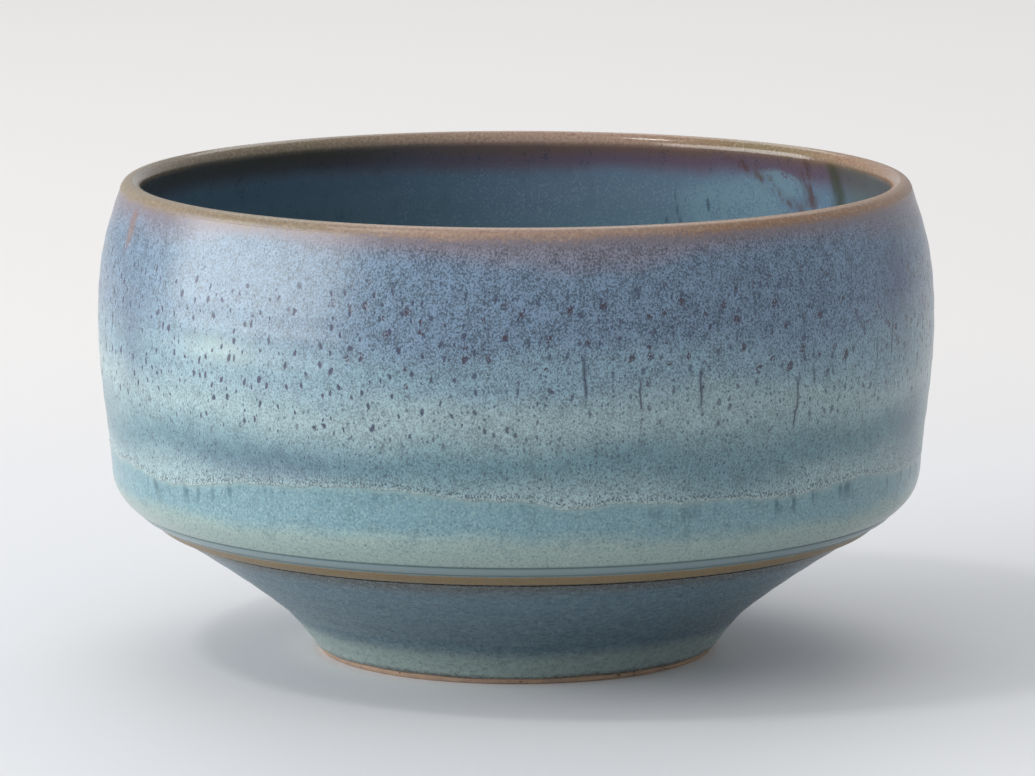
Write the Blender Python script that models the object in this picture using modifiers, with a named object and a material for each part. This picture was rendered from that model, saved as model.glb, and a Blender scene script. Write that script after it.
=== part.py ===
"""A matcha bowl: a thrown stoneware bowl on a conical foot ring, under its coats of glaze.

Metres, +Z up. The origin is the centre of the standing ring, on the surface the bowl stands on,
and the bowl is a figure of revolution about +Z. It is one fired piece with no moving parts: each
object below is a layer or a member that the potter adds, and touching pieces keep a hair's gap.
"""

import math

import bmesh
import bpy

# Driving dimensions
HEIGHT = 0.0713
WIDEST_RADIUS = 0.0626
WIDEST_Z = 0.0500
LIP_RADIUS = 0.0573  # the crest of the lip, measured from the axis
LIP_OUTER_RADIUS = 0.0593
LIP_INNER_RADIUS = 0.0559
LIP_SHOULDER_Z = 0.0694  # where the round of the lip meets the wall
HIP_RADIUS = 0.0607  # the wall's radius where it starts to turn in
HIP_Z = 0.0285
STEP_RADIUS = 0.0521  # the turned step between the bowl and its foot
STEP_Z = 0.0191
EDGE_RADIUS = 0.0552  # the top of the step's rounded edge
EDGE_Z = 0.0208
FOOT_RADIUS = 0.0294  # outside of the standing ring
FOOT_KNEE_RADIUS = 0.0354  # where the foot's flare steepens
FOOT_KNEE_Z = 0.0072
STANDING_RING = 0.0054  # width of the ring that the bowl stands on
WELL_RADIUS = 0.0232  # the clay's hollow inside the foot, at its ceiling
WELL_DEPTH = 0.0060  # from the standing ring to the well's glazed ceiling
FLOOR_Z = 0.0134  # the lowest point inside
INNER_WALL_RADIUS = 0.0577  # the widest place inside
INNER_HIP_RADIUS = 0.0545
INNER_HIP_Z = 0.0315

COAT = 0.0005  # thickness of a coat of glaze
OVERCOAT = 0.0004  # thickness of the speckled coat over the base coat
GAP = 0.0003  # between touching pieces
OVERGLAZE_TOP_Z = 0.0690
OVERGLAZE_BOTTOM_Z = 0.0325
BARE_FOOT_Z = 0.0008  # the height of bare clay round the foot
SEAT_EDGE = (STEP_RADIUS - 0.0028, STEP_Z - 0.0009)  # where the foot's clay meets the bowl's
REBATE_BLEND = 0.0004  # the height over which the base coat drops under the overglaze
LIP_COAT_START = 0.0008  # depth below the crest where the base coat starts to thicken
LIP_COAT_END = 0.0022  # and where it has its full thickness
WELL_FLARE_Z = 0.0022  # below this the hollow in the foot flares out to the standing ring
WELL_CORNER = 0.0025  # how far in from its wall the well's ceiling starts to turn down
WELL_SLOPE = 0.0060  # width of the slope at the back of the well's glaze
SEGMENTS = 36  # steps of each turning
MERGE_DISTANCE = 0.00001


def curve(start, handle_a, handle_b, end, count):
    """Count points along a cubic curve in the (radius, z) plane, leaving out its end.

    The handles set how full each curve is. They are given from the sizes of the ends that they shape.
    """
    points = []
    for index in range(count):
        t = index / count
        s = 1 - t
        weights = (s**3, 3 * s * s * t, 3 * s * t * t, t**3)
        corners = (start, handle_a, handle_b, end)
        radius = sum(w * c[0] for w, c in zip(weights, corners))
        z = sum(w * c[1] for w, c in zip(weights, corners))
        points.append((radius, z))
    return points


def inset(path, depth):
    """The path moved into the clay. The clay is on the right of a path that runs out and over the lip."""
    moved = []
    for index, (radius, z) in enumerate(path):
        before = path[max(index - 1, 0)]
        after = path[min(index + 1, len(path) - 1)]
        along = (after[0] - before[0], after[1] - before[1])
        length = math.hypot(along[0], along[1])
        normal = (-along[1] / length, along[0] / length)
        here = depth(z) if callable(depth) else depth
        moved.append((radius - normal[0] * here, z - normal[1] * here))
    return moved


def inner_path():
    """The glazed inside, from the centre of the floor to the crest of the lip."""
    floor = curve(
        (0.0, FLOOR_Z),
        (0.026, FLOOR_Z + 0.0002),
        (INNER_HIP_RADIUS - 0.0040, INNER_HIP_Z - 0.0085),
        (INNER_HIP_RADIUS, INNER_HIP_Z),
        6,
    )
    wall = curve(
        (INNER_HIP_RADIUS, INNER_HIP_Z),
        (INNER_HIP_RADIUS + 0.0022, INNER_HIP_Z + 0.0050),
        (INNER_WALL_RADIUS + 0.0020, LIP_SHOULDER_Z - 0.0120),
        (LIP_INNER_RADIUS, LIP_SHOULDER_Z),
        4,
    )
    lip = curve(
        (LIP_INNER_RADIUS, LIP_SHOULDER_Z),
        (LIP_INNER_RADIUS - 0.0001, LIP_SHOULDER_Z + 0.0010),
        (LIP_RADIUS - 0.0007, HEIGHT),
        (LIP_RADIUS, HEIGHT),
        2,
    )
    return floor + wall + lip + [(LIP_RADIUS, HEIGHT)]


def outer_path():
    """The glazed outside, from the crest of the lip down to the step."""
    lip = curve(
        (LIP_RADIUS, HEIGHT),
        (LIP_RADIUS + 0.0012, HEIGHT),
        (LIP_OUTER_RADIUS - 0.0003, LIP_SHOULDER_Z + 0.0012),
        (LIP_OUTER_RADIUS, LIP_SHOULDER_Z),
        2,
    )
    shoulder = curve(
        (LIP_OUTER_RADIUS, LIP_SHOULDER_Z),
        (LIP_OUTER_RADIUS + 0.0020, LIP_SHOULDER_Z - 0.0060),
        (WIDEST_RADIUS, WIDEST_Z + 0.0100),
        (WIDEST_RADIUS, WIDEST_Z),
        3,
    )
    wall = curve(
        (WIDEST_RADIUS, WIDEST_Z),
        (WIDEST_RADIUS, WIDEST_Z - 0.0080),
        (HIP_RADIUS + 0.0003, HIP_Z + 0.0060),
        (HIP_RADIUS, HIP_Z),
        2,
    )
    hip = curve(
        (HIP_RADIUS, HIP_Z),
        (HIP_RADIUS - 0.0002, HIP_Z - 0.0040),
        (EDGE_RADIUS + 0.0033, EDGE_Z + 0.0023),
        (EDGE_RADIUS, EDGE_Z),
        4,
    )
    edge = [(EDGE_RADIUS, EDGE_Z), (EDGE_RADIUS - 0.0018, STEP_Z + 0.0003)]
    return lip + shoulder + wall + hip + edge + [(STEP_RADIUS, STEP_Z)]


def foot_path():
    """The glazed outside of the foot, from under the step down to the standing ring."""
    top = (STEP_RADIUS - 0.0003, STEP_Z - 0.0003)
    flare = curve(
        top,
        (top[0] - 0.0062, top[1] - 0.0040),
        (FOOT_KNEE_RADIUS + 0.0046, FOOT_KNEE_Z + 0.0038),
        (FOOT_KNEE_RADIUS, FOOT_KNEE_Z),
        3,
    )
    knee = curve(
        (FOOT_KNEE_RADIUS, FOOT_KNEE_Z),
        (FOOT_KNEE_RADIUS - 0.0025, FOOT_KNEE_Z - 0.0023),
        (FOOT_RADIUS + 0.0016, 0.0021),
        (FOOT_RADIUS, 0.0),
        3,
    )
    return flare + knee + [(FOOT_RADIUS, 0.0)]


def seat_path():
    """The underside of the clay bowl, in from its rim to the axis. The foot ring sits against it."""
    ceiling = WELL_DEPTH + COAT + GAP
    rim = (STEP_RADIUS - 0.0037, STEP_Z - 0.0002)
    corner = (WELL_RADIUS + 0.0010, ceiling + 0.0006)
    slope = curve(
        rim,
        (rim[0] - 0.0080, rim[1] - 0.0048),
        (corner[0] + 0.0090, corner[1] + 0.0030),
        corner,
        4,
    )
    return slope + [corner, (0.0, ceiling)]


def cut_above(path, z):
    """The part of a falling path below z, starting exactly on it."""
    for index in range(1, len(path)):
        (r0, z0), (r1, z1) = path[index - 1], path[index]
        if z1 < z <= z0:
            share = (z0 - z) / (z0 - z1)
            return [(r0 + (r1 - r0) * share, z)] + path[index:]
    return path


def cut_below(path, z):
    """The part of a falling path above z, ending exactly on it."""
    rising = [(radius, -height) for radius, height in reversed(path)]
    return [(radius, -height) for radius, height in reversed(cut_above(rising, -z))]


def ramp(value, low, high):
    return min(max((value - low) / (high - low), 0.0), 1.0)


def rebate(z):
    """How far the base coat lies under the surface: it drops where the overglaze covers it."""
    top = ramp(OVERGLAZE_TOP_Z + GAP + REBATE_BLEND - z, 0.0, REBATE_BLEND)
    bottom = ramp(z - (OVERGLAZE_BOTTOM_Z - GAP - REBATE_BLEND), 0.0, REBATE_BLEND)
    return (OVERCOAT + GAP) * min(top, bottom)


def base_depth(z):
    """How deep the base coat's back is: thin over the lip, and thicker down the wall."""
    full = OVERCOAT + GAP + COAT
    return COAT + (full - COAT) * ramp(HEIGHT - z, LIP_COAT_START, LIP_COAT_END)


def bowl_clay_outline():
    inside = inset(inner_path(), COAT + GAP)
    inside[0] = (0.0, FLOOR_Z - COAT - GAP)
    inside[-1] = (LIP_RADIUS, HEIGHT - COAT - GAP)
    outside = inset(outer_path(), lambda z: base_depth(z) + GAP)
    under_step = (STEP_RADIUS - 0.0014, STEP_Z + 0.0002)  # just inside the base coat's lower end
    return inside + outside[1:-1] + [under_step, SEAT_EDGE] + seat_path()


def foot_clay_outline():
    seat = [(radius, z - GAP) for radius, z in seat_path() if radius > WELL_RADIUS]
    tip = (SEAT_EDGE[0] - 0.7 * GAP, SEAT_EDGE[1] - 0.7 * GAP)  # a gap away, on the slant
    flare = inset(cut_below(foot_path(), BARE_FOOT_Z + GAP), COAT + GAP)
    bare = cut_above(foot_path(), BARE_FOOT_Z - GAP)
    ledge = (bare[0][0] - COAT - GAP, BARE_FOOT_Z - GAP)
    under = [(FOOT_RADIUS - STANDING_RING, 0.0), (WELL_RADIUS + 0.0002, WELL_FLARE_Z)]
    well = [(WELL_RADIUS, WELL_DEPTH + COAT)]
    return seat[::-1] + [tip] + flare[1:] + [ledge] + bare + under + well


def outer_glaze_outline():
    face = outer_path()
    detailed = cut_below(face, OVERGLAZE_TOP_Z + GAP + REBATE_BLEND)
    detailed += cut_above(face, OVERGLAZE_TOP_Z + GAP)
    upper = cut_below(detailed, OVERGLAZE_BOTTOM_Z - GAP)
    lower = cut_above(detailed, OVERGLAZE_BOTTOM_Z - GAP - REBATE_BLEND)
    face = upper + lower
    crest = (LIP_RADIUS + GAP, HEIGHT)
    front = [crest] + inset(face, rebate)[1:]
    back = [(LIP_RADIUS + GAP, HEIGHT - COAT)] + inset(outer_path(), base_depth)[1:-1]
    return front + back[::-1]


def overglaze_outline():
    face = cut_below(cut_above(outer_path(), OVERGLAZE_TOP_Z), OVERGLAZE_BOTTOM_Z)
    return face + inset(face, OVERCOAT)[::-1]


def inner_glaze_outline():
    face = inner_path()
    back = inset(face, COAT)
    back[0] = (0.0, FLOOR_Z - COAT)
    back[-1] = (LIP_RADIUS, HEIGHT - COAT)
    return face + back[::-1]


def foot_glaze_outline():
    face = cut_below(foot_path(), BARE_FOOT_Z)
    return face + inset(face, COAT)[::-1]


def foot_well_outline():
    wall = WELL_RADIUS - GAP
    ceiling = WELL_DEPTH
    edge = ceiling + 0.0007
    return [
        (0.0, ceiling + COAT),
        (wall - WELL_SLOPE, ceiling + COAT),
        (wall, edge),
        (wall, BARE_FOOT_Z + 0.0003),
        (wall - COAT * 0.6, BARE_FOOT_Z),
        (wall - COAT, BARE_FOOT_Z + 0.0006),
        (wall - COAT - 0.0004, ceiling - 0.0014),
        (wall - COAT - WELL_CORNER, ceiling),
        (0.0, ceiling),
    ]


def glaze(name, colour, roughness):
    material = bpy.data.materials.new(name)
    material.use_nodes = True
    shader = material.node_tree.nodes["Principled BSDF"]
    shader.inputs["Base Color"].default_value = (*colour, 1.0)
    shader.inputs["Roughness"].default_value = roughness
    shader.inputs["Metallic"].default_value = 0.0
    material.diffuse_color = (*colour, 1.0)
    return material


def turn(name, outline, material, parts):
    """Turns an outline about +Z. An outline that starts on the axis ends on it, and any other closes."""
    mesh = bpy.data.meshes.new(name)
    shape = bmesh.new()
    corners = [shape.verts.new((radius, 0.0, z)) for radius, z in outline]
    for first, second in zip(corners, corners[1:]):
        shape.edges.new((first, second))
    if outline[0][0] > 0.0:
        shape.edges.new((corners[-1], corners[0]))
    shape.to_mesh(mesh)
    shape.free()
    mesh.materials.append(material)
    piece = bpy.data.objects.new(name, mesh)
    parts.objects.link(piece)
    screw = piece.modifiers.new("Turn", "SCREW")
    screw.axis = "Z"
    screw.steps = SEGMENTS
    screw.render_steps = SEGMENTS
    screw.use_merge_vertices = True
    screw.merge_threshold = MERGE_DISTANCE
    screw.use_smooth_shade = True
    return piece


def bowl_clay(parts):
    clay = glaze("stoneware_body", (0.46, 0.36, 0.28), 0.85)
    return turn("bowl_clay", bowl_clay_outline(), clay, parts)


def foot_ring(parts):
    clay = glaze("stoneware_foot", (0.50, 0.39, 0.30), 0.85)
    return turn("foot_ring", foot_clay_outline(), clay, parts)


def outer_glaze(parts):
    colour = glaze("mint_base_glaze", (0.30, 0.47, 0.47), 0.25)
    return turn("outer_glaze", outer_glaze_outline(), colour, parts)


def overglaze(parts):
    colour = glaze("speckled_blue_glaze", (0.20, 0.29, 0.42), 0.30)
    return turn("overglaze", overglaze_outline(), colour, parts)


def inner_glaze(parts):
    colour = glaze("inner_blue_glaze", (0.15, 0.24, 0.33), 0.25)
    return turn("inner_glaze", inner_glaze_outline(), colour, parts)


def foot_glaze(parts):
    colour = glaze("foot_blue_glaze", (0.11, 0.20, 0.26), 0.30)
    return turn("foot_glaze", foot_glaze_outline(), colour, parts)


def foot_well_glaze(parts):
    colour = glaze("well_blue_glaze", (0.13, 0.22, 0.27), 0.30)
    return turn("foot_well_glaze", foot_well_outline(), colour, parts)


def main():
    for old in list(bpy.data.objects):
        bpy.data.objects.remove(old, do_unlink=True)
    parts = bpy.data.collections.new("matcha_bowl")
    bpy.context.scene.collection.children.link(parts)
    bowl_clay(parts)
    foot_ring(parts)
    outer_glaze(parts)
    overglaze(parts)
    inner_glaze(parts)
    foot_glaze(parts)
    foot_well_glaze(parts)


main()
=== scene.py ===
"""The looks of a glazed matcha bowl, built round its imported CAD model.

Metres, +Z up, the bowl's axis on Z and its standing ring on z = 0. The photographed side faces -Y.
Azimuth runs round the axis in degrees, from 0 at -Y, and is positive towards +X. Inside a material
every length is in millimetres.
"""

import math

import bmesh
import bpy
import numpy as np
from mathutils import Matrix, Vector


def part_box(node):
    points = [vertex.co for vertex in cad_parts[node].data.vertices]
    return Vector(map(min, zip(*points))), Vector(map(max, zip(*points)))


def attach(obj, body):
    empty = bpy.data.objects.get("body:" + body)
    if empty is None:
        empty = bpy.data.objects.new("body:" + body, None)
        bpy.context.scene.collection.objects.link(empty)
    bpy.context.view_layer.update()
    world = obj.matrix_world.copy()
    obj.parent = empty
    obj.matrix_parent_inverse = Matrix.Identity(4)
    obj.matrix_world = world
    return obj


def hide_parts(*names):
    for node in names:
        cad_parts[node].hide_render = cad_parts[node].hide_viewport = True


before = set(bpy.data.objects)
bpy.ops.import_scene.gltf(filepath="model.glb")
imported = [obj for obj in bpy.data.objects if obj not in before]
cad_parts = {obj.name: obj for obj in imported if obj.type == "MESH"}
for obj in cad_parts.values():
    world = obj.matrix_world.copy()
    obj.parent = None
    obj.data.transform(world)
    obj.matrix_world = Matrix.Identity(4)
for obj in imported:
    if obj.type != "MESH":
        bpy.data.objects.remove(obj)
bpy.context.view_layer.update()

MM = 0.001

# The frame's own sizes
BASE_COAT_LOW, BASE_COAT_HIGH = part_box("outer_glaze")
HEIGHT = BASE_COAT_HIGH.z
RIPPLE = 0.05 * MM  # the most that the thrower's fingers left, in or out
WIDEST_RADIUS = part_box("overglaze")[1].x - RIPPLE
STEP_Z = BASE_COAT_LOW.z
GLAZE_END_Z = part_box("foot_glaze")[0].z

# The outline's other sizes, as in the CAD model
WIDEST_Z = 50.0 * MM
LIP_RADIUS = 57.3 * MM
LIP_OUTER_RADIUS = 59.3 * MM
LIP_INNER_RADIUS = 55.9 * MM
LIP_SHOULDER_Z = 69.4 * MM
HIP_RADIUS = 60.7 * MM
HIP_Z = 28.5 * MM
STEP_RADIUS = 52.1 * MM
EDGE_RADIUS = 55.2 * MM
EDGE_Z = 20.8 * MM
FOOT_RADIUS = 29.4 * MM
FOOT_KNEE_RADIUS = 35.4 * MM
FOOT_KNEE_Z = 7.2 * MM
STANDING_RING = 5.4 * MM
WELL_RADIUS = 23.2 * MM
WELL_DEPTH = 6.0 * MM
FLOOR_Z = 13.4 * MM
INNER_WALL_RADIUS = 57.7 * MM
INNER_HIP_RADIUS = 54.5 * MM
INNER_HIP_Z = 31.5 * MM
COAT = 0.5 * MM

# Sizes that differ from the CAD model's, whose solids need wider gaps between them
SKIN = 0.35 * MM  # the overglaze over the base coat
SEAM = 0.1 * MM  # between the clay and the coats on it
OVERGLAZE_TOP_Z = 70.0 * MM  # 1 mm higher than its CAD solid's, whose base coat needs the room

# The long thin dark runs in the overglaze. They start at one azimuth and go round by way of the back,
# which leaves the milky part left of the front, whose sheen is partly painted, without any.
RUN_COUNT = 32
RUN_SEED = 5
RUNS_FROM = -65.0
RUNS_SPAN = 290.0

# What is turned low on the wall: where each lies, and how deep or proud it is
GROOVE_Z = 22.45 * MM
GROOVE_DEPTH = 0.25 * MM
BEAD_Z = 21.7 * MM
BEAD_HEIGHT = 0.12 * MM
UNDERCUT_Z = 20.98 * MM
UNDERCUT_DEPTH = 0.18 * MM

RIDGE = 0.09 * MM  # how proud the overglaze stands along its lower edge
SUNK = 0.42 * MM  # how far the base coat lies below the overglaze's face
SPIRAL = 0.10 * MM  # the finger marks in the floor
SPIRAL_PITCH = 6.0 * MM
WELL_ROUND = 2.4 * MM  # the corner between the well's ceiling and its skirt

ARC = math.radians(WIDEST_RADIUS / MM)  # millimetres along the wall for each degree
SEGMENTS = 600
AZIMUTH = np.radians(np.arange(SEGMENTS) * (360.0 / SEGMENTS) - 180.0)


# ---------------------------------------------------------------- outline

def curve(corners, count):
    """Count points along a cubic curve in the (radius, z) plane, leaving out its end."""
    t = np.arange(count)[:, None] / count
    a, b, c, d = (np.array(corner) for corner in corners)
    return a * (1 - t) ** 3 + 3 * b * t * (1 - t) ** 2 + 3 * c * t * t * (1 - t) + d * t**3


def inner_path():
    """The glazed inside, from the centre of the floor to the crest of the lip."""
    floor = curve(
        [
            (0.0, FLOOR_Z),
            (26.0 * MM, FLOOR_Z + 0.2 * MM),
            (INNER_HIP_RADIUS - 4.0 * MM, INNER_HIP_Z - 8.5 * MM),
            (INNER_HIP_RADIUS, INNER_HIP_Z),
        ],
        200,
    )
    wall = curve(
        [
            (INNER_HIP_RADIUS, INNER_HIP_Z),
            (INNER_HIP_RADIUS + 2.2 * MM, INNER_HIP_Z + 5.0 * MM),
            (INNER_WALL_RADIUS + 2.0 * MM, LIP_SHOULDER_Z - 12.0 * MM),
            (LIP_INNER_RADIUS, LIP_SHOULDER_Z),
        ],
        150,
    )
    lip = curve(
        [
            (LIP_INNER_RADIUS, LIP_SHOULDER_Z),
            (LIP_INNER_RADIUS - 0.1 * MM, LIP_SHOULDER_Z + 1.0 * MM),
            (LIP_RADIUS - 0.7 * MM, HEIGHT),
            (LIP_RADIUS, HEIGHT),
        ],
        40,
    )
    return np.vstack([floor, wall, lip, [(LIP_RADIUS, HEIGHT)]])


def outer_path():
    """The glazed outside, from the crest of the lip down to the step."""
    lip = curve(
        [
            (LIP_RADIUS, HEIGHT),
            (LIP_RADIUS + 1.2 * MM, HEIGHT),
            (LIP_OUTER_RADIUS - 0.3 * MM, LIP_SHOULDER_Z + 1.2 * MM),
            (LIP_OUTER_RADIUS, LIP_SHOULDER_Z),
        ],
        50,
    )
    shoulder = curve(
        [
            (LIP_OUTER_RADIUS, LIP_SHOULDER_Z),
            (LIP_OUTER_RADIUS + 2.0 * MM, LIP_SHOULDER_Z - 6.0 * MM),
            (WIDEST_RADIUS, WIDEST_Z + 10.0 * MM),
            (WIDEST_RADIUS, WIDEST_Z),
        ],
        100,
    )
    wall = curve(
        [
            (WIDEST_RADIUS, WIDEST_Z),
            (WIDEST_RADIUS, WIDEST_Z - 8.0 * MM),
            (HIP_RADIUS + 0.3 * MM, HIP_Z + 6.0 * MM),
            (HIP_RADIUS, HIP_Z),
        ],
        100,
    )
    hip = curve(
        [
            (HIP_RADIUS, HIP_Z),
            (HIP_RADIUS - 0.2 * MM, HIP_Z - 4.0 * MM),
            (EDGE_RADIUS + 3.3 * MM, EDGE_Z + 2.3 * MM),
            (EDGE_RADIUS, EDGE_Z),
        ],
        150,
    )
    edge = curve(
        [
            (EDGE_RADIUS, EDGE_Z),
            (EDGE_RADIUS - 0.9 * MM, EDGE_Z - 0.7 * MM),
            (EDGE_RADIUS - 1.7 * MM, STEP_Z + 0.05 * MM),
            (STEP_RADIUS, STEP_Z),
        ],
        50,
    )
    return np.vstack([lip, shoulder, wall, hip, edge, [(STEP_RADIUS, STEP_Z)]])


def foot_path():
    """The outside of the foot, from under the step down to the standing ring."""
    top = (STEP_RADIUS - 0.3 * MM, STEP_Z - 0.3 * MM)
    flare = curve(
        [
            top,
            (top[0] - 6.2 * MM, top[1] - 4.0 * MM),
            (FOOT_KNEE_RADIUS + 4.6 * MM, FOOT_KNEE_Z + 3.8 * MM),
            (FOOT_KNEE_RADIUS, FOOT_KNEE_Z),
        ],
        100,
    )
    knee = curve(
        [
            (FOOT_KNEE_RADIUS, FOOT_KNEE_Z),
            (FOOT_KNEE_RADIUS - 2.5 * MM, FOOT_KNEE_Z - 2.3 * MM),
            (FOOT_RADIUS + 1.6 * MM, 2.1 * MM),
            (FOOT_RADIUS, 0.0),
        ],
        100,
    )
    return np.vstack([flare, knee, [(FOOT_RADIUS, 0.0)]])


def seat_path():
    """Where the foot's clay meets the bowl's, from under the step in to the well's corner."""
    return curve(
        [
            (STEP_RADIUS - 3.7 * MM, STEP_Z - 0.2 * MM),
            (STEP_RADIUS - 11.7 * MM, STEP_Z - 5.0 * MM),
            (WELL_RADIUS + 10.0 * MM, WELL_DEPTH + 4.4 * MM),
            (WELL_RADIUS + 1.0 * MM, WELL_DEPTH + 1.4 * MM),
        ],
        20,
    )


class Profile:
    """A path in the (radius, z) plane, read by the distance along it."""

    def __init__(self, path):
        along = np.gradient(path, axis=0)
        along /= np.linalg.norm(along, axis=1)[:, None]
        self.path = path
        self.out = np.column_stack([-along[:, 1], along[:, 0]])
        self.length = np.append(0.0, np.cumsum(np.linalg.norm(np.diff(path, axis=0), axis=1)))

    def reach(self, z):
        """The distance at which a path that only falls passes z."""
        return np.interp(-z, -self.path[:, 1], self.length)

    def height(self, reach):
        return np.interp(reach, self.length, self.path[:, 1])

    def points(self, reach, lift=0.0):
        """(radius, z) points at each reach, moved out of the clay by lift."""
        on_path = np.column_stack([np.interp(reach, self.length, self.path[:, axis]) for axis in (0, 1)])
        outward = np.column_stack([np.interp(reach, self.length, self.out[:, axis]) for axis in (0, 1)])
        return on_path + lift * outward

    def skin(self, reach, lift=0.0):
        """Rows of points all round the axis, at each row's reach, moved out of the clay by lift."""
        reach, lift = np.broadcast_arrays(reach, lift, subok=True)
        radius = np.interp(reach, self.length, self.path[:, 0])
        radius = radius + lift * np.interp(reach, self.length, self.out[:, 0])
        z = self.height(reach) + lift * np.interp(reach, self.length, self.out[:, 1])
        radius = np.broadcast_to(radius, (len(radius), SEGMENTS))
        z = np.broadcast_to(z, radius.shape)
        return np.stack([radius * np.sin(AZIMUTH), -radius * np.cos(AZIMUTH), z], axis=-1)


def turned(outline):
    """Rows of points all round the axis from (radius, z) corners."""
    radius, z = np.array(outline).T
    rows = np.stack(
        [
            radius[:, None] * np.sin(AZIMUTH),
            -radius[:, None] * np.cos(AZIMUTH),
            np.repeat(z[:, None], SEGMENTS, axis=1),
        ],
        axis=-1,
    )
    return rows


def between(start, end, count):
    """Count rows from start to end, both included. Either may differ round the axis."""
    share = np.linspace(0.0, 1.0, count)[:, None]
    return np.asarray(start) * (1 - share) + np.asarray(end) * share


def hump(values, centre, width):
    return np.exp(-(((values - centre) / width) ** 2))


def ease(values, low, high):
    t = np.clip((values - low) / (high - low), 0.0, 1.0)
    return t * t * (3 - 2 * t)


def ripple(z):
    """The rise and fall left by the thrower's fingers, in metres."""
    turn = 2 * np.pi * z / (4.1 * MM) + AZIMUTH
    slow = np.sin(2 * AZIMUTH + z / (9 * MM)) + np.sin(3 * AZIMUTH - 1.0 - z / (14 * MM))
    return RIPPLE * (0.45 * np.sin(turn) + 0.25 * slow)


def edge_height():
    """The height of the overglaze's lower edge, all round, in metres.

    It is wavy everywhere. It rises in a broad swell left of the front and dips in a notch just right of it.
    """
    degrees = np.degrees(AZIMUTH)
    wavy = 31.2 + 0.4 * np.sin(3 * AZIMUTH + 0.4) + 0.4 * np.sin(8 * AZIMUTH) + 0.25 * np.sin(15 * AZIMUTH)
    swell = 3.0 * hump(degrees, -20.0, 25.0)
    notch = 1.5 * hump(degrees, 7.0, 5.0)
    scallops = np.sin(43 * AZIMUTH) * np.sin(17 * AZIMUTH + 1.0) + 0.7 * np.sin(89 * AZIMUTH + 1.3)
    return (wavy + swell - notch + 0.14 * scallops) * MM


def run_lines():
    """Where each long thin run lies: its azimuth at the top, its lean in degrees for each millimetre
    that it falls, and the heights of its top and its bottom."""
    draw = np.random.default_rng(RUN_SEED)
    for index in range(RUN_COUNT):
        share = (index + draw.uniform(0.1, 0.9)) / RUN_COUNT
        azimuth = (RUNS_FROM - RUNS_SPAN * share + 180.0) % 360.0 - 180.0
        top = draw.uniform(48.0, 57.0)
        yield azimuth, draw.uniform(-0.2, 0.2), top, top - draw.uniform(3.0, 9.0)


# ---------------------------------------------------------------- meshes

def sheet_uv(shape, rows, seen):
    """Lays the turned surface out in strips side by side, and gives its hidden rows little room."""
    lengths = np.linalg.norm(np.diff(rows, axis=0, append=rows[:1]), axis=2).mean(axis=1)
    lengths *= np.where(seen, 1.0, 0.03)
    widest = 2 * math.pi * np.linalg.norm(rows[..., :2], axis=2).max()
    strips = max(1, round(math.sqrt(widest / lengths.sum())))
    margin = 0.006
    band = 1.0 / strips
    up = np.append(0.0, np.cumsum(lengths)) / lengths.sum() * (band - margin)
    per_strip = SEGMENTS // strips
    layer = shape.loops.layers.uv.new("OFBake")
    for index, face in enumerate(shape.faces):
        row, segment = divmod(index, SEGMENTS)
        strip = min(segment // per_strip, strips - 1)
        count = per_strip if strip < strips - 1 else SEGMENTS - per_strip * (strips - 1)
        left = (segment - strip * per_strip) / count
        for loop, (ahead, below) in zip(face.loops, ((0, 0), (0, 1), (1, 1), (1, 0))):
            u = margin + (left + ahead / count) * (1 - 2 * margin)
            loop[layer].uv = (u, strip * band + margin / 2 + up[row + below])


def lathe(name, rows, seen, **values):
    """A closed piece from rows of points, whose last row meets its first. Values go on its points."""
    count = len(rows)
    mesh = bpy.data.meshes.new(name)
    shape = bmesh.new()
    layers = {key: shape.verts.layers.float.new(key) for key in values}
    points = [[shape.verts.new(point) for point in row] for row in rows.tolist()]
    for key, layer in layers.items():
        for line, numbers in zip(points, np.broadcast_to(values[key], rows.shape[:2]).tolist()):
            for point, number in zip(line, numbers):
                point[layer] = number
    for row in range(count):
        here, below = points[row], points[(row + 1) % count]
        for segment in range(SEGMENTS):
            after = (segment + 1) % SEGMENTS
            shape.faces.new((here[segment], below[segment], below[after], here[after]))
    sheet_uv(shape, rows, seen)
    bmesh.ops.remove_doubles(shape, verts=shape.verts, dist=0.0005 * MM)
    shape.to_mesh(mesh)
    shape.free()
    piece = bpy.data.objects.new(name, mesh)
    bpy.context.scene.collection.objects.link(piece)
    mesh.shade_smooth()
    mesh.set_sharp_from_angle(angle=math.radians(50))
    return piece


# ---------------------------------------------------------------- materials

class Signal:
    """A value that differs over a surface, which adds and multiplies as a number does."""

    def __init__(self, shader, socket):
        self.shader = shader
        self.socket = socket

    def __add__(self, other):
        return self.shader.math("ADD", self, other)

    def __sub__(self, other):
        return self.shader.math("SUBTRACT", self, other)

    def __rsub__(self, other):
        return self.shader.math("SUBTRACT", other, self)

    def __mul__(self, other):
        return self.shader.math("MULTIPLY", self, other)

    def __truediv__(self, other):
        return self.shader.math("DIVIDE", self, other)

    __radd__ = __add__
    __rmul__ = __mul__


def rgb(red, green, blue):
    """A linear colour from one written as it shows on a screen."""
    parts = [part / 255 for part in (red, green, blue)]
    return tuple(p / 12.92 if p <= 0.04045 else ((p + 0.055) / 1.055) ** 2.4 for p in parts)


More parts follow.
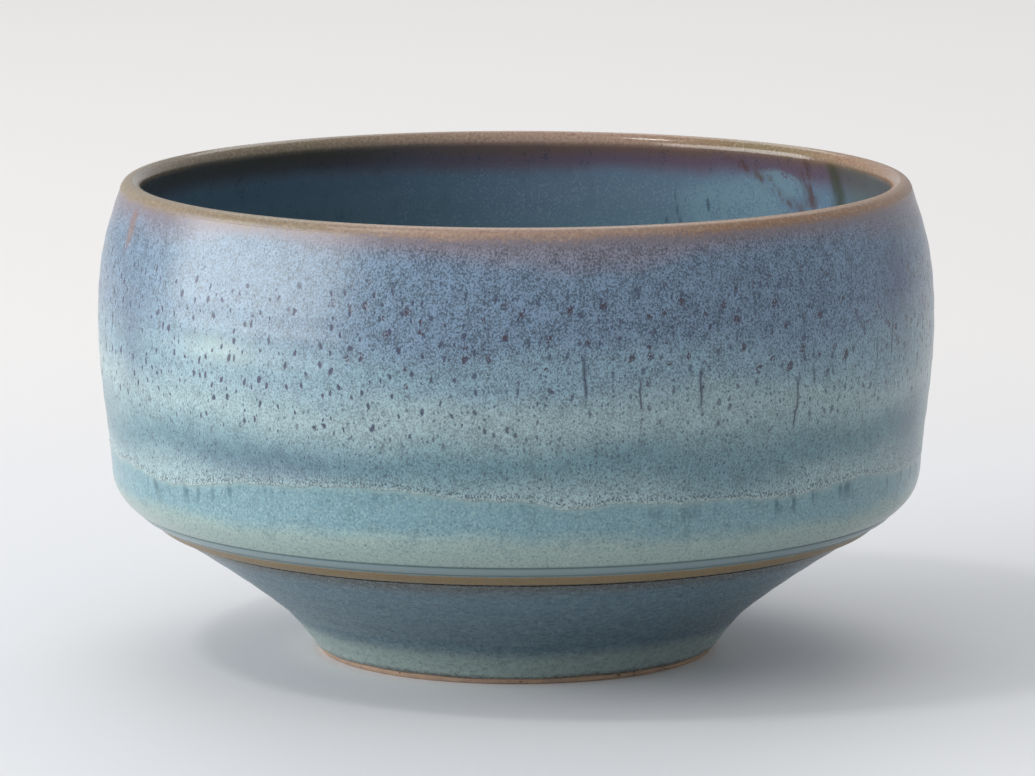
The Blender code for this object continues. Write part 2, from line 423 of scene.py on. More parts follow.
class Shader:
    """One glaze or clay: a Principled material and the signals that feed it."""

    def __init__(self, name):
        self.material = bpy.data.materials.new(name)
        self.material.use_nodes = True
        self.tree = self.material.node_tree
        self.surface = self.tree.nodes["Principled BSDF"]
        here = self.node("ShaderNodeTexCoord").outputs["Object"]
        scale = self.node("ShaderNodeVectorMath", operation="SCALE")
        self.feed(scale.inputs[0], here)
        scale.inputs["Scale"].default_value = 1 / MM
        self.place = scale.outputs[0]
        apart = self.node("ShaderNodeSeparateXYZ")
        self.feed(apart.inputs[0], self.place)
        self.x, self.y, self.z = (Signal(self, apart.outputs[axis]) for axis in "XYZ")
        self.azimuth = self.math("ARCTAN2", self.x, self.y * -1.0) * math.degrees(1)

    def node(self, kind, **settings):
        made = self.tree.nodes.new(kind)
        for key, value in settings.items():
            setattr(made, key, value)
        return made

    def feed(self, socket, value):
        if isinstance(value, Signal):
            self.tree.links.new(value.socket, socket)
        elif isinstance(value, bpy.types.NodeSocket):
            self.tree.links.new(value, socket)
        elif isinstance(value, tuple) and len(value) == 3 and socket.type == "RGBA":
            socket.default_value = (*value, 1.0)
        else:
            socket.default_value = value

    def math(self, operation, *values):
        made = self.node("ShaderNodeMath", operation=operation)
        for socket, value in zip(made.inputs, values):
            self.feed(socket, value)
        return Signal(self, made.outputs[0])

    def step(self, value, low, high):
        """0 below low and 1 above high, with a soft rise between. Low may be the larger."""
        made = self.node("ShaderNodeMapRange", interpolation_type="SMOOTHSTEP")
        self.feed(made.inputs["Value"], value)
        self.feed(made.inputs["From Min"], low)
        self.feed(made.inputs["From Max"], high)
        return Signal(self, made.outputs["Result"])

    def hill(self, value, centre, width):
        """1 at the centre, falling off to nothing about two widths away."""
        off = (value - centre) / width
        return self.math("EXPONENT", off * off * -1.0)

    def spot(self, azimuth, height, wide, tall):
        """A soft patch on the wall, wide in degrees and tall in millimetres."""
        across = (self.azimuth - azimuth) / wide
        up = (self.z - height) / tall
        return self.math("EXPONENT", (across * across + up * up) * -1.0)

    def noise(self, size, detail=2.0, stretch=1.0, seed=1.0, rough=0.5):
        """Cloudy noise round 0.5, with features about size millimetres across. No two seeds agree."""
        moved = self.node("ShaderNodeMapping")
        self.feed(moved.inputs["Vector"], self.place)
        moved.inputs["Location"].default_value = (seed * 17.3, seed * 5.1, seed * 11.7)
        moved.inputs["Scale"].default_value = (1.0, 1.0, stretch)
        made = self.node("ShaderNodeTexNoise")
        self.feed(made.inputs["Vector"], moved.outputs[0])
        made.inputs["Scale"].default_value = 1.0 / size
        made.inputs["Detail"].default_value = detail
        made.inputs["Roughness"].default_value = rough
        return Signal(self, made.outputs["Fac"])

    def unrolled(self, ragged, stretch, seed):
        """The wall laid flat: arc length across and height up, pushed about a little by noise."""
        push = (self.noise(1.2, detail=1.0, seed=seed + 0.5) - 0.5) * ragged
        flat = self.node("ShaderNodeCombineXYZ")
        self.feed(flat.inputs[0], self.azimuth * ARC + push + seed * 13.7)
        self.feed(flat.inputs[1], (self.z + push) * stretch)
        return flat.outputs[0]

    def dots(self, size, least, most, share, stretch=1.0, seed=1.0, ragged=0.6):
        """Scattered dots on the wall. A share of cells of this size hold one, of radius least to most.

        There are none at the very back, where the unrolled wall's two ends meet and would cut them.
        """
        made = self.node("ShaderNodeTexVoronoi", voronoi_dimensions="2D")
        self.feed(made.inputs["Vector"], self.unrolled(ragged, stretch, seed))
        made.inputs["Scale"].default_value = 1.0 / size
        made.inputs["Randomness"].default_value = 0.9
        apart = self.node("ShaderNodeSeparateColor")
        self.feed(apart.inputs[0], made.outputs["Color"])
        chance, amount = (Signal(self, apart.outputs[index]) for index in (0, 1))
        radius = (amount * (most - least) + least) / size
        distance = Signal(self, made.outputs["Distance"])
        kept = self.step(chance, share + 0.02, share - 0.02)
        whole = self.step(self.math("ABSOLUTE", self.azimuth), 179.9, 178.9)
        return self.step(distance / radius, 1.15, 0.6) * kept * whole

    def attribute(self, name):
        return Signal(self, self.node("ShaderNodeAttribute", attribute_name=name).outputs["Fac"])

    def tones(self, value, low, high, stops):
        """A colour that goes through the stops, which are (value, colour) pairs, as value rises."""
        made = self.node("ShaderNodeValToRGB")
        self.feed(made.inputs[0], (value - low) / (high - low))
        ramp = made.color_ramp
        ramp.interpolation = "EASE"
        for index, (place, colour) in enumerate(stops):
            place = (place - low) / (high - low)
            stop = ramp.elements[index] if index < 2 else ramp.elements.new(place)
            stop.position = place
            stop.color = (*colour, 1.0)
        return made.outputs["Color"]

    def mix(self, first, second, share):
        made = self.node("ShaderNodeMix", data_type="RGBA")
        self.feed(made.inputs["Factor"], share)
        self.feed(made.inputs[6], first)
        self.feed(made.inputs[7], second)
        return made.outputs[2]

    def finish(self, colour, roughness, relief):
        """Joins the signals to the surface. Relief is a height in millimetres."""
        self.feed(self.surface.inputs["Base Color"], colour)
        self.feed(self.surface.inputs["Roughness"], roughness)
        bump = self.node("ShaderNodeBump")
        bump.inputs["Distance"].default_value = MM
        self.feed(bump.inputs["Height"], relief)
        self.feed(self.surface.inputs["Normal"], bump.outputs[0])
        return self.material


# The glazes' own colours
CELADON = rgb(140, 160, 155)
TEAL = rgb(110, 145, 155)
PALE_BLUE = rgb(155, 180, 185)
SKY_BLUE = rgb(135, 165, 180)
DENIM = rgb(120, 145, 170)
LAVENDER = rgb(135, 135, 150)
INDIGO = rgb(60, 75, 105)
SLATE_BLUE = rgb(70, 100, 115)
THIN_GLAZE = rgb(75, 75, 70)

# The overglaze's bands from the bottom up: height, the colour between its grains, and how much of that
# colour's light the dark grains keep
BLUE_BANDS = [
    (31.0, PALE_BLUE, 0.45),
    (37.5, TEAL, 0.50),
    (44.5, PALE_BLUE, 0.50),
    (50.0, SKY_BLUE, 0.40),
    (57.0, DENIM, 0.27),
    (65.0, DENIM, 0.28),
    (69.0, LAVENDER, 0.36),
]


def deepen(colour, kept):
    """The same hue with a share of its light kept."""
    return tuple(part * kept for part in colour)


def lip_colour(s):
    """The lip, where the glaze runs thin over the clay.

    It is olive to the left, pink in the middle and tan to the right, with an olive stretch back right.
    """
    patch = (s.noise(14.0, detail=2.0, seed=3.0) - 0.5) * 30.0
    grain = s.noise(0.45, detail=2.0, seed=31.0)
    warm = s.mix(rgb(126, 112, 90), rgb(154, 128, 112), s.step(s.x + patch, -36.0, -4.0))
    warm = s.mix(warm, rgb(142, 110, 84), s.step(s.x + patch, 8.0, 40.0))
    warm = s.mix(warm, rgb(110, 108, 76), s.hill(s.azimuth + patch * 0.3, 137.0, 13.0) * 0.6)
    pale = s.mix(warm, rgb(186, 164, 144), s.step(grain, 0.48, 0.80) * 0.5)
    return s.mix(pale, rgb(96, 76, 64), s.step(grain, 0.50, 0.22) * 0.5)


def towards_lip(s, colour):
    """The colour going over to plum and then to the lip's tan as the glaze thins."""
    sag = (s.noise(9.0, detail=2.0, seed=33.0) - 0.5) * 1.0 + (s.noise(0.35, seed=34.0) - 0.5) * 2.2
    colour = s.mix(colour, rgb(120, 110, 115), s.step(s.z + sag, 67.8, 69.8) * 0.75)
    return s.mix(colour, lip_colour(s), s.step(s.z + sag, 69.3, 70.6))


def speckled_blue_glaze():
    """The overglaze: drifting bands of blue, two-toned by a fine grain, with flecks, drops and runs."""
    s = Shader("speckled_blue_glaze")
    cloud = s.noise(34.0, detail=3.0, stretch=2.2, seed=2.0, rough=0.55)
    wave = s.noise(60.0, detail=1.0, stretch=3.0, seed=8.0)
    height = s.z + (cloud - 0.5) * 12.0 + (wave - 0.5) * 10.0
    fine = s.noise(0.26, detail=2.0, stretch=0.8, seed=4.0, rough=0.7)
    clump = s.noise(1.7, detail=2.0, stretch=0.8, seed=6.0)
    grain = fine + (clump - 0.5) * 0.25
    pale = s.tones(height, 28.0, 72.0, [(z, colour) for z, colour, _ in BLUE_BANDS])
    dark = s.tones(height, 28.0, 72.0, [(z, deepen(colour, kept)) for z, colour, kept in BLUE_BANDS])
    colour = s.mix(pale, dark, s.step(grain, 0.66, 0.33))

    # Broad patches: a milky bloom with a paler heart on the left, partly painted sheen, darker pools, partly
    # painted dark reflection, and a rust mark at the lip
    ragged = (s.noise(3.2, detail=3.0, stretch=1.6, seed=7.0, rough=0.6) - 0.5) * 1.6
    # Painted sheen: the bloom is partly a paler glaze and partly the window lamp's sheen painted into the
    # colour
    bloom_and_sheen = s.spot(-42.0, 57.0, 24.0, 14.0) * (ragged * 0.5 + 1.0)
    colour = s.mix(colour, PALE_BLUE, bloom_and_sheen * 0.2)
    milk = s.spot(-43.0, 52.0, 8.0, 2.4) * (ragged + 1.0)
    colour = s.mix(colour, rgb(172, 192, 186), milk * 0.45)
    # Painted reflection: the two narrow pools at the right, near 64 and 70 degrees, paint the dark
    # reflection of a dark part of the room
    pool_and_dark_reflection = s.spot(64.0, 60.0, 5.0, 9.0) * 0.5 + s.spot(70.0, 38.0, 5.0, 5.0) * 0.4
    pool_and_dark_reflection = pool_and_dark_reflection + s.spot(-36.0, 36.5, 14.0, 2.6) * 0.35 + s.spot(-64.0, 51.0, 4.0, 7.0) * 0.35
    colour = s.mix(colour, INDIGO, pool_and_dark_reflection)
    rust = s.hill(s.azimuth + ragged * 1.2, -69.0, 1.1) * s.step(s.z, 62.5, 65.0) * s.step(s.z, 69.5, 68.5)
    colour = s.mix(colour, rgb(130, 90, 65), rust * 0.6)

    # Dark flecks: drops in the middle of the wall, larger brown spots on the front and right, and fine
    # ones throughout
    drops = s.dots(size=1.5, least=0.16, most=0.36, share=0.50, stretch=0.55, seed=9.0, ragged=0.9)
    drops = drops * s.step(s.z, 38.0, 43.0) * s.step(s.z, 66.0, 61.0)
    spots = s.dots(size=2.9, least=0.30, most=0.65, share=0.45, stretch=0.85, seed=12.0, ragged=1.2)
    spots = spots * s.step(height, 46.0, 50.0) * s.step(height, 66.0, 60.0)
    spots = spots * s.step(s.azimuth, -34.0, -20.0) * s.step(fine, 0.62, 0.52)
    small = s.dots(size=0.8, least=0.10, most=0.22, share=0.40, stretch=0.75, seed=15.0, ragged=0.5)
    colour = s.mix(colour, rgb(48, 62, 84), small * 0.6)
    colour = s.mix(colour, rgb(50, 56, 80), drops * (s.step(s.azimuth, 20.0, -30.0) * 0.35 + 0.6))
    colour = s.mix(colour, rgb(58, 48, 62), spots * 0.85)

    # Long thin runs
    wander = (s.noise(3.0, detail=1.0, seed=20.0) - 0.5) * 1.1
    runs = None
    for azimuth, lean, top, bottom in run_lines():
        offset = s.azimuth + wander - azimuth - (s.z * -1.0 + top) * lean
        line = s.hill(offset, 0.0, 0.20) * s.step(s.z, bottom - 0.6, bottom + 0.8)
        line = line * s.step(s.z, top + 1.0, top - 3.0)
        runs = line if runs is None else s.math("MAXIMUM", runs, line)
    colour = s.mix(colour, rgb(50, 56, 76), runs * 0.85)

    # The pale, granular line along the lower edge
    above = s.attribute("above_edge") + (s.noise(1.1, detail=2.0, seed=23.0) - 0.5) * 0.5
    line = s.hill(above, 0.22, 0.20) * s.step(grain, 0.36, 0.52)
    colour = s.mix(colour, rgb(156, 172, 166), line * 0.55)
    grit = s.hill(above, 0.75, 0.40) * s.step(fine, 0.52, 0.42)
    colour = s.mix(colour, rgb(62, 74, 78), grit * 0.7)

    colour = towards_lip(s, colour)

    roughness = 0.26 + (clump - 0.5) * 0.12 + drops * 0.10 + runs * 0.08
    peel = s.noise(2.2, detail=1.0, seed=27.0)
    relief = peel * 0.020 + fine * 0.010 - drops * 0.02 - spots * 0.02 - runs * 0.03
    return s.finish(colour, roughness, relief)


def mint_base_glaze():
    """The base coat: celadon at the hip, teal above it and thin over the turned edges."""
    s = Shader("mint_base_glaze")
    cloud = s.noise(26.0, detail=3.0, stretch=2.4, seed=2.0, rough=0.55)
    fine = s.noise(0.36, detail=2.0, seed=4.0, rough=0.6)
    mottle = s.noise(2.4, detail=4.0, stretch=1.3, seed=6.0, rough=0.65)
    height = s.z + (cloud - 0.5) * 4.0
    ground = s.tones(height, 18.0, 36.0, [(25.5, CELADON), (28.5, TEAL)])
    deeper = s.mix(ground, deepen(TEAL, 0.65), s.step(mottle, 0.46, 0.72) * s.step(s.z, 24.0, 27.0) * 0.6)
    colour = s.mix(deeper, rgb(166, 186, 180), s.step(fine, 0.48, 0.76) * 0.5)
    colour = s.mix(colour, rgb(66, 92, 98), s.step(fine, 0.48, 0.26) * 0.6)

    # Short drips of the overglaze's colour under its edge, and a pale tide line lower down
    below = s.attribute("below_edge")
    streaks = s.noise(1.5, detail=1.0, stretch=0.22, seed=9.0)
    drips = s.step(streaks, 0.52, 0.66) * s.step(below, 3.4, 0.6) * s.step(cloud, 0.35, 0.6)
    colour = s.mix(colour, rgb(52, 88, 100), drips * 0.75)
    colour = s.mix(colour, rgb(138, 160, 158), s.hill(below, 0.1, 0.35) * 0.4)
    tide = s.hill(s.z + (s.noise(9.0, detail=2.0, seed=13.0) - 0.5) * 2.4, 27.4, 0.16)
    colour = s.mix(colour, rgb(170, 190, 188), tide * s.spot(-14.0, 27.4, 20.0, 3.0) * 0.2)

    # The turned groove, the bead under it and the brown arris, where the glaze runs thin
    colour = s.mix(colour, rgb(118, 138, 142), s.step(s.z, 22.6, 22.1))
    colour = s.mix(colour, rgb(58, 80, 88), s.hill(s.z, GROOVE_Z / MM, 0.17) * 0.85)
    colour = s.mix(colour, rgb(70, 90, 92), s.hill(s.z, 21.0, 0.16) * 0.8)
    arris = s.mix(rgb(125, 105, 70), rgb(85, 72, 50), s.step(fine, 0.55, 0.35) * 0.6)
    colour = s.mix(colour, arris, s.step(s.z + (mottle - 0.5) * 0.4, 20.95, 20.6))
    colour = s.mix(colour, towards_lip(s, rgb(104, 98, 114)), s.step(s.z, 60.0, 64.0))

    roughness = 0.24 + (mottle - 0.5) * 0.12 + s.step(s.z, 60.0, 64.0) * 0.1 + s.step(s.z, 21.0, 20.6) * 0.12
    relief = s.noise(2.4, detail=1.0, seed=27.0) * 0.022 + fine * 0.006
    return s.finish(colour, roughness, relief)


def inner_blue_glaze():
    """The lining: teal and blue, plum and brown towards the lip, with painted shade on the left and painted
    light on its right.
    """
    s = Shader("inner_blue_glaze")
    cloud = s.noise(30.0, detail=3.0, stretch=0.8, seed=2.0, rough=0.55)
    fine = s.noise(0.42, detail=2.0, stretch=1.0, seed=4.0, rough=0.65)
    flow = s.noise(2.0, detail=2.0, stretch=0.5, seed=6.0)
    height = s.z + (cloud - 0.5) * 6.0
    ground = s.tones(
        height, 12.0, 72.0,
        [
            (14.0, TEAL),
            (22.0, deepen(TEAL, 0.55)),
            (48.0, deepen(TEAL, 0.80)),
            (64.0, deepen(DENIM, 0.75)),
            (67.5, rgb(105, 90, 105)),
            (69.2, rgb(110, 90, 85)),
        ],
    )
    grain = fine + (flow - 0.5) * 0.5
    # Painted shade: the whole left of the inside is darkened, on the side away from the window lamp
    ground = s.mix(ground, deepen(SLATE_BLUE, 0.6), s.step(s.x, 10.0, -45.0) * 0.6)
    colour = s.mix(ground, rgb(44, 62, 82), s.step(grain, 0.56, 0.74) * 0.55)
    # Painted light: pale grain shows only on the right of the inside, below the rim, where the window lamp
    # falls
    painted_light_side = s.step(s.z, 67.5, 63.0) * s.step(s.x, -45.0, 5.0)
    colour = s.mix(colour, rgb(140, 168, 176), s.step(fine, 0.48, 0.70) * painted_light_side * 0.5)

    # On the right the glaze ran pale between rust-coloured borders, beside an olive streak
    ragged = (s.noise(2.2, detail=3.0, stretch=0.6, seed=16.0) - 0.5) * 9.0
    stream = s.spot(144.0, 60.5, 10.0, 4.5) * 1.2 + s.spot(134.0, 65.2, 5.5, 2.0) * 1.2
    stream = s.step(stream + ragged * 0.05, 0.25, 0.75)
    colour = s.mix(colour, rgb(120, 150, 164), stream * s.step(grain, 0.30, 0.55) * 0.8)
    leaning = s.azimuth - (s.z - 66.0) * 1.7 + ragged
    border = s.hill(leaning, 138.0, 1.9) * s.step(s.z, 59.0, 62.5) * s.step(s.z, 69.5, 68.0)
    border = border + s.hill(s.azimuth + ragged * 0.6, 127.0, 1.5) * s.step(s.z, 60.0, 63.0)
    border = border * s.step(flow + (fine - 0.5) * 0.6, 0.36, 0.58)
    colour = s.mix(colour, rgb(92, 70, 66), border * 0.8)
    olive = s.hill(s.azimuth + ragged * 0.4, 119.5, 1.8) * s.step(s.z, 54.0, 62.0)
    grey = s.step(s.azimuth, 124.0, 113.0) * s.step(s.azimuth, 60.0, 95.0) * s.step(s.z, 48.0, 64.0)
    colour = s.mix(colour, rgb(92, 96, 84), grey * 0.6)
    colour = s.mix(colour, rgb(66, 68, 46), olive * 0.75)
    shade = s.step(s.x, -12.0, -34.0) * s.step(s.z + ragged * 0.1, 65.0, 68.5)
    colour = s.mix(colour, rgb(66, 58, 44), shade * 0.7)

    # A few short dark runs below the rim, beside the pale stream
    streak = s.noise(1.3, detail=1.0, stretch=0.25, seed=41.0)
    streak = s.step(streak, 0.64, 0.72) * s.step(s.z, 63.0, 61.0) * s.step(s.z, 52.0, 57.0)
    streak = streak * s.step(s.azimuth, 138.0, 146.0) * s.step(s.azimuth, 163.0, 157.0)
    colour = s.mix(colour, rgb(40, 62, 66), streak * 0.5)

    # Glass pooled in the floor, over a faint ring where it gathered
    across = from_axis(s)
    colour = s.mix(colour, TEAL, s.step(across + (cloud - 0.5) * 12.0, 20.0, 12.0) * 0.5)
    colour = s.mix(colour, rgb(132, 160, 156), s.hill(across + (cloud - 0.5) * 8.0, 19.0, 0.8) * 0.35)
    lip = s.step(s.z + (cloud - 0.5) * 1.4, 69.0, 70.4)
    colour = s.mix(colour, lip_colour(s), lip)
    roughness = 0.14 + (cloud - 0.5) * 0.06 + lip * 0.02
    relief = s.noise(2.6, detail=1.0, seed=27.0) * 0.022 + fine * 0.006 - s.step(flow, 0.55, 0.7) * 0.012
    return s.finish(colour, roughness, relief)


def from_axis(s):
    """The distance from the bowl's axis."""
    return s.math("SQRT", s.x * s.x + s.y * s.y)


def foot_blue_glaze(name="foot_blue_glaze"):
    """Slate blue on the foot and in its well, with a pale band near the ground."""
    s = Shader(name)
    cloud = s.noise(20.0, detail=3.0, stretch=1.6, seed=2.0, rough=0.55)
    fine = s.noise(0.30, detail=2.0, stretch=1.5, seed=4.0, rough=0.65)
    mottle = s.noise(1.0, detail=2.0, stretch=1.4, seed=6.0)
    height = s.z + (cloud - 0.5) * 1.6
    ground = s.tones(
        height, 0.0, 20.0,
        [
            (0.8, THIN_GLAZE),
            (1.8, deepen(CELADON, 0.85)),
            (3.6, deepen(CELADON, 0.75)),
            (6.4, deepen(SLATE_BLUE, 0.8)),
            (16.0, SLATE_BLUE),
            (18.8, deepen(THIN_GLAZE, 0.8)),
        ],
    )
    grain = fine + (mottle - 0.5) * 0.3
    colour = s.mix(ground, rgb(150, 172, 180), s.step(grain, 0.48, 0.74) * 0.5)
    colour = s.mix(colour, rgb(26, 40, 60), s.step(grain, 0.52, 0.28) * 0.55)
    roughness = 0.28 + (mottle - 0.5) * 0.15
    relief = s.noise(2.0, detail=1.0, seed=27.0) * 0.018 + fine * 0.008
    return s.finish(colour, roughness, relief)


def bare_stoneware():
    """Unglazed clay, warm and rough, with iron specks and the rings left by turning."""
    s = Shader("bare_stoneware")
    fine = s.noise(0.5, detail=3.0, seed=4.0, rough=0.6)
    patch = s.noise(7.0, detail=2.0, seed=6.0)
    colour = s.mix(rgb(150, 128, 112), rgb(172, 146, 122), s.step(patch, 0.35, 0.65))
    colour = s.mix(colour, rgb(112, 84, 66), s.step(fine, 0.46, 0.28) * 0.5)
    iron = s.step(s.noise(1.1, detail=1.0, seed=9.0), 0.68, 0.74)
    colour = s.mix(colour, rgb(70, 46, 36), iron * 0.8)
    roughness = 0.82 + (fine - 0.5) * 0.2
    across = from_axis(s)
    turning = s.math("SINE", (across + (patch - 0.5) * 0.4) * 9.0)
    relief = fine * 0.05 + turning * 0.012 - iron * 0.02
    return s.finish(colour, roughness, relief)


# ---------------------------------------------------------------- the pieces

def speckled_overglaze():
    """The second coat, from under the lip to its own wavy edge, where it stands proud of the first."""
    outer = Profile(outer_path())
    edge = outer.reach(edge_height())
    top = outer.reach(OVERGLAZE_TOP_Z)
    rim = np.array([1.9, 1.4, 1.0, 0.75, 0.55, 0.4, 0.28, 0.18, 0.1, 0.04, 0.0])[:, None] * MM
    reach = np.vstack([between(top, edge - 2.6 * MM, 62), edge - rim])
    above = edge - reach
    ridge = RIDGE * np.tanh(above / (0.12 * MM)) * hump(above, 0.25 * MM, 0.8 * MM)
    seam = 0.03 * MM * (hump(above, 0.0, 0.1 * MM) + hump(reach, top, 0.2 * MM))
    lift = ridge - seam + ripple(outer.height(reach))
    front = outer.skin(reach, lift)
    under = SKIN * ease(above, -0.1 * MM, 0.7 * MM) * ease(reach - top, -0.1 * MM, 0.6 * MM) + 0.04 * MM
    behind = reach[::-5]
    back = outer.skin(behind, (lift - under)[::-5])
    rows = np.vstack([front, back])
    seen = np.arange(len(rows)) < len(front) - 1
    piece = lathe("speckled_overglaze", rows, seen, above_edge=np.vstack([above, above[::-5]]) / MM)
    piece.data.materials.append(speckled_blue_glaze())
    return piece


def base_glaze():
    """The first coat. It shows at the lip and below the overglaze, where a groove and a bead are turned."""
    outer = Profile(outer_path())
    edge = outer.reach(edge_height())
    top = outer.reach(OVERGLAZE_TOP_Z)
    lip = between(0.0, top, 18)
    hidden = between(top + 0.4 * MM, edge - 1.1 * MM, 9)
    turn = np.array([0.8, 0.6, 0.45, 0.3, 0.15, 0.0, -0.2])[:, None] * MM
    skirt = between(edge + 0.5 * MM, outer.reach(23.2 * MM), 20)
    beads = between(outer.reach(23.1 * MM), outer.length[-1], 78)
    parts = (lip, hidden, edge - turn, skirt, beads)
    reach = np.vstack([np.broadcast_to(part, (len(part), SEGMENTS)) for part in parts])
    above = edge - reach
    z = outer.height(reach)
    sunk = SUNK * ease(above, 0.05 * MM, 0.75 * MM) * ease(reach - top, 0.0, 0.6 * MM)
    lift = ripple(z) * ease(z, 22.0 * MM, 26.0 * MM) * ease(-z, -70.6 * MM, -69.0 * MM) - sunk
    lift -= GROOVE_DEPTH * hump(z, GROOVE_Z, 0.17 * MM)
    lift -= UNDERCUT_DEPTH * hump(z, UNDERCUT_Z, 0.13 * MM)
    lift += BEAD_HEIGHT * hump(z, BEAD_Z, 0.32 * MM)
    lift[0] = 0.0
    front = outer.skin(reach, lift)
    behind = between(outer.length[-1], 0.0, 22)
    depth = COAT + (COAT + SKIN - 0.1 * MM) * ease(behind, 0.4 * MM, 2.6 * MM)
    back = outer.skin(behind, -depth)
    rows = np.vstack([front, back])
    seen = np.ones(len(rows), bool)
    seen[len(lip) : len(lip) + len(hidden)] = False
    seen[len(front) - 1 :] = False
    below = np.vstack([-above, np.zeros((len(back), SEGMENTS))])
    piece = lathe("base_glaze", rows, seen, below_edge=below / MM)
    piece.data.materials.append(mint_base_glaze())
    return piece


def lining_glaze():
    """The coat inside, with the spiral that the thrower's fingers left in the floor."""
    inner = Profile(inner_path())
    reach = between(0.0, inner.length[-1], 130)
    z = inner.height(reach)
    spiral = SPIRAL * np.sin(2 * np.pi * reach / SPIRAL_PITCH + AZIMUTH)
    centre = ease(reach, 1.0 * MM, 7.0 * MM)
    lift = spiral * centre * ease(-z, -45 * MM, -18 * MM) + ripple(z) * centre
    lift = lift * ease(inner.length[-1] - reach, 0.0, 3.0 * MM)
    front = inner.skin(reach, lift)
    back = inner.skin(between(inner.length[-1], 0.0, 24), -COAT)
    rows = np.vstack([front, back])
    rows[-1, :, :2] = 0.0
    seen = np.arange(len(rows)) < len(front) - 1
    piece = lathe("lining_glaze", rows, seen)
    piece.data.materials.append(inner_blue_glaze())
    return piece


def foot_coat():
    """The glaze on the foot's flare, wiped off just above the standing ring."""
    foot = Profile(foot_path())
    end = foot.reach(GLAZE_END_Z)
    wiped = end + 0.12 * MM * np.sin(5 * AZIMUTH) * np.sin(11 * AZIMUTH + 1.0) - 0.1 * MM
    reach = between(0.0, wiped, 80)
    lift = 0.02 * MM * np.sin(2 * np.pi * foot.height(reach) / (2.4 * MM) + AZIMUTH)
    bead = 0.06 * MM * hump(reach, wiped - 0.3 * MM, 0.3 * MM) - 0.1 * MM * hump(reach, wiped, 0.12 * MM)
    front = foot.skin(reach, lift + bead)
    back = foot.skin(between(wiped, 0.0, 16), -COAT)
    rows = np.vstack([front, back])
    seen = np.arange(len(rows)) < len(front) - 1
    piece = lathe("foot_coat", rows, seen)
    piece.data.materials.append(foot_blue_glaze())
    return piece


def foot_well_coat():
    """The glaze inside the foot: a ceiling, a round corner and a skirt down the ring's inner side."""
    wall = WELL_RADIUS - 0.3 * MM
    skin = wall - COAT
    radii = np.linspace(0.0, skin - WELL_ROUND, 40)
    ceiling = np.column_stack([radii, WELL_DEPTH + 0.06 * MM * np.sin(radii / (0.8 * MM)) - 0.06 * MM])
    corner = curve(
        [
            (skin - WELL_ROUND, WELL_DEPTH),
            (skin - 0.8 * MM, WELL_DEPTH),
            (skin, WELL_DEPTH - 0.8 * MM),
            (skin, WELL_DEPTH - WELL_ROUND),
        ],
        14,
    )
    skirt = np.column_stack([np.full(12, skin), np.linspace(WELL_DEPTH - WELL_ROUND, 1.3 * MM, 12)])
    foot = [(skin + 0.12 * MM, 0.9 * MM), (wall - 0.15 * MM, 0.85 * MM), (wall, 1.1 * MM)]
    over = [(wall, WELL_DEPTH - 0.4 * MM), (wall - 5.0 * MM, WELL_DEPTH + 0.45 * MM)]
    outline = np.vstack([ceiling[:-1], corner, skirt, foot, over, [(0.0, WELL_DEPTH + 0.45 * MM)]])
    rows = turned(outline[::-1])
    seen = np.arange(len(rows)) >= 3
    piece = lathe("foot_well_coat", rows, seen)
    piece.data.materials.append(foot_blue_glaze("well_blue_glaze"))
    return piece


def foot_clay():
    """The foot's clay. Only its standing ring and a hair of its sides are bare."""
    foot = Profile(foot_path())
    bare = between(foot.reach(0.62 * MM), foot.length[-1] - 0.22 * MM, 8)[:, 0]
    outside = foot.points(bare)
    covered = between(foot.length[0], foot.reach(0.75 * MM), 16)[:, 0]
    hidden = foot.points(covered, -(COAT + SEAM))
    inside_radius = FOOT_RADIUS - STANDING_RING
    radii = np.linspace(FOOT_RADIUS - 0.25 * MM, inside_radius + 0.25 * MM, 44)
    marks = 0.02 * MM * (1 + np.sin(radii / (0.11 * MM)))
    marks[[0, -1]] = 0.0
    underside = np.column_stack([radii, marks])
    rounding = [(inside_radius + 0.08 * MM, 0.07 * MM), (inside_radius, 0.25 * MM)]
    well = [(WELL_RADIUS + 0.2 * MM, 2.2 * MM), (WELL_RADIUS, WELL_DEPTH + COAT)]
    seat = seat_path()[::-1] - np.array([0.0, 2 * SEAM])
    chamfer = [(FOOT_RADIUS - 0.07 * MM, 0.06 * MM)]
    outline = np.vstack([hidden, outside, chamfer, underside, rounding, well, seat])
    rows = turned(outline)
    row = np.arange(len(rows))
    seen = (row >= len(hidden) - 1) & (row < len(outline) - len(seat) - 1)
    piece = lathe("foot_ring_clay", rows, seen)
    piece.data.materials.append(bare_stoneware())
    return piece


def body_clay():
    """The thrown bowl under its coats."""
    inner = Profile(inner_path())
    outer = Profile(outer_path())
    inside = inner.skin(between(0.0, inner.length[-1], 40), -(COAT + SEAM))
    inside[0, :, :2] = 0.0
    reach = between(0.6 * MM, outer.length[-1] - 0.8 * MM, 60)
    depth = COAT + (COAT + SKIN - 0.1 * MM) * ease(reach, 0.4 * MM, 2.6 * MM) + SEAM
    outside = outer.skin(reach, -depth)
    ceiling = WELL_DEPTH + 0.8 * MM
    under = turned([*seat_path(), (WELL_RADIUS + 1.0 * MM, ceiling), (0.0, ceiling)])
    rows = np.vstack([inside, outside, under])
    piece = lathe("bowl_body_clay", rows, np.ones(len(rows), bool))
    piece.data.materials.append(bpy.data.materials["bare_stoneware"])
    return piece


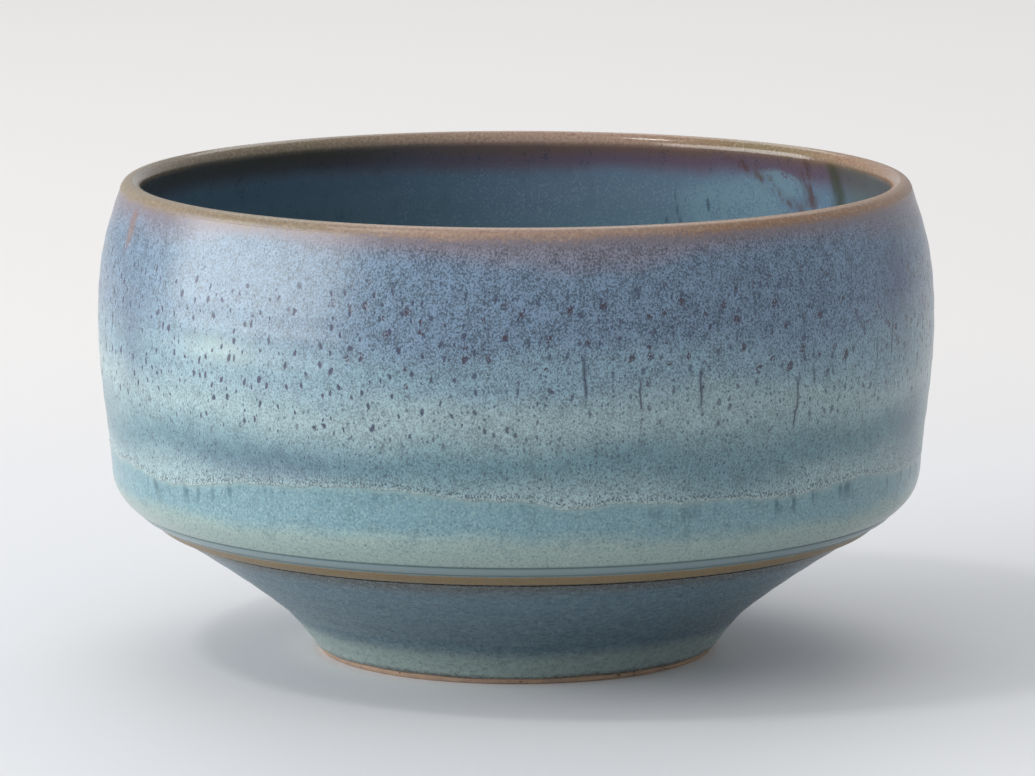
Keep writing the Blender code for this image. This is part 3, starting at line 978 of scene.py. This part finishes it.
def build():
    pieces = [
        (speckled_overglaze(), "overglaze", "speckled_blue_glaze"),
        (base_glaze(), "outer_glaze", "mint_base_glaze"),
        (lining_glaze(), "inner_glaze", "inner_blue_glaze"),
        (foot_coat(), "foot_glaze", "foot_blue_glaze"),
        (foot_well_coat(), "foot_well_glaze", "well_blue_glaze"),
        (foot_clay(), "foot_ring", "stoneware_foot"),
        (body_clay(), "bowl_clay", "stoneware_body"),
    ]
    for piece, node, slot in pieces:
        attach(piece, "root")
        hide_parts(node)


# ---------------------------------------------------------------- studio

SENSOR_WIDTH = 36.0
LENS = 226.1
CAMERA_DISTANCE = 0.9762
CAMERA_ELEVATION = math.radians(9.077)
CAMERA_X = 0.0002
AIM_Z = 0.0393
LAMP_AIM_Z = 0.04
FLOOR_SIZE = 6.0
WORLD_COLOUR = (0.75, 0.76, 0.78, 1)
WORLD_STRENGTH = 0.78


def camera():
    data = bpy.data.cameras.new("Camera")
    data.sensor_width = SENSOR_WIDTH
    data.lens = LENS
    data.clip_start = 0.05
    data.clip_end = 20.0
    view = bpy.data.objects.new("Camera", data)
    bpy.context.scene.collection.objects.link(view)
    back = CAMERA_DISTANCE * math.cos(CAMERA_ELEVATION)
    rise = CAMERA_DISTANCE * math.sin(CAMERA_ELEVATION)
    view.location = (CAMERA_X, -back, AIM_Z + rise)
    view.rotation_euler = (math.pi / 2 - CAMERA_ELEVATION, 0.0, 0.0)
    bpy.context.scene.camera = view


def softbox(name, azimuth, elevation, distance, width, height, power):
    """A soft lamp that faces the bowl. Power is in watts, and sizes and distance in metres."""
    data = bpy.data.lights.new(name, "AREA")
    data.shape = "RECTANGLE"
    data.size = width
    data.size_y = height
    data.energy = power
    lamp = bpy.data.objects.new(name, data)
    bpy.context.scene.collection.objects.link(lamp)
    a, e = math.radians(azimuth), math.radians(elevation)
    place = np.array([math.sin(a) * math.cos(e), -math.cos(a) * math.cos(e), math.sin(e)]) * distance
    lamp.location = tuple(place + np.array([0, 0, LAMP_AIM_Z]))
    lamp.rotation_euler = (math.pi / 2 - e, 0.0, a)
    lamp.visible_camera = False


def paper_floor():
    """A pale matt sheet, cooler near the bowl and warmer further back."""
    s = Shader("pale_paper")
    back = s.step(s.y, 90.0, 330.0)
    colour = s.mix((0.78, 0.785, 0.80), (0.84, 0.82, 0.80), back)
    fibre = s.noise(1.5, detail=3.0, seed=2.0)
    s.surface.inputs["Specular IOR Level"].default_value = 0.3
    s.finish(colour, 0.55 + (fibre - 0.5) * 0.1, fibre * 0.01)
    return s.material


def studio():
    scene = bpy.context.scene
    scene.view_settings.view_transform = "Standard"
    world = bpy.data.worlds.new("Studio")
    scene.world = world
    world.use_nodes = True
    sky = world.node_tree.nodes["Background"]
    sky.inputs["Color"].default_value = WORLD_COLOUR
    sky.inputs["Strength"].default_value = WORLD_STRENGTH
    softbox("Window", azimuth=-78, elevation=12, distance=1.3, width=1.4, height=0.9, power=21)
    softbox("Glint", azimuth=-66, elevation=60, distance=1.3, width=0.16, height=0.16, power=2.2)
    softbox("Back", azimuth=178, elevation=48, distance=1.7, width=1.4, height=0.8, power=6)
    bpy.ops.mesh.primitive_plane_add(size=FLOOR_SIZE, location=(0, 0, 0))
    floor = bpy.context.object
    floor.name = "Floor"
    floor.data.materials.append(paper_floor())


camera()
studio()
build()
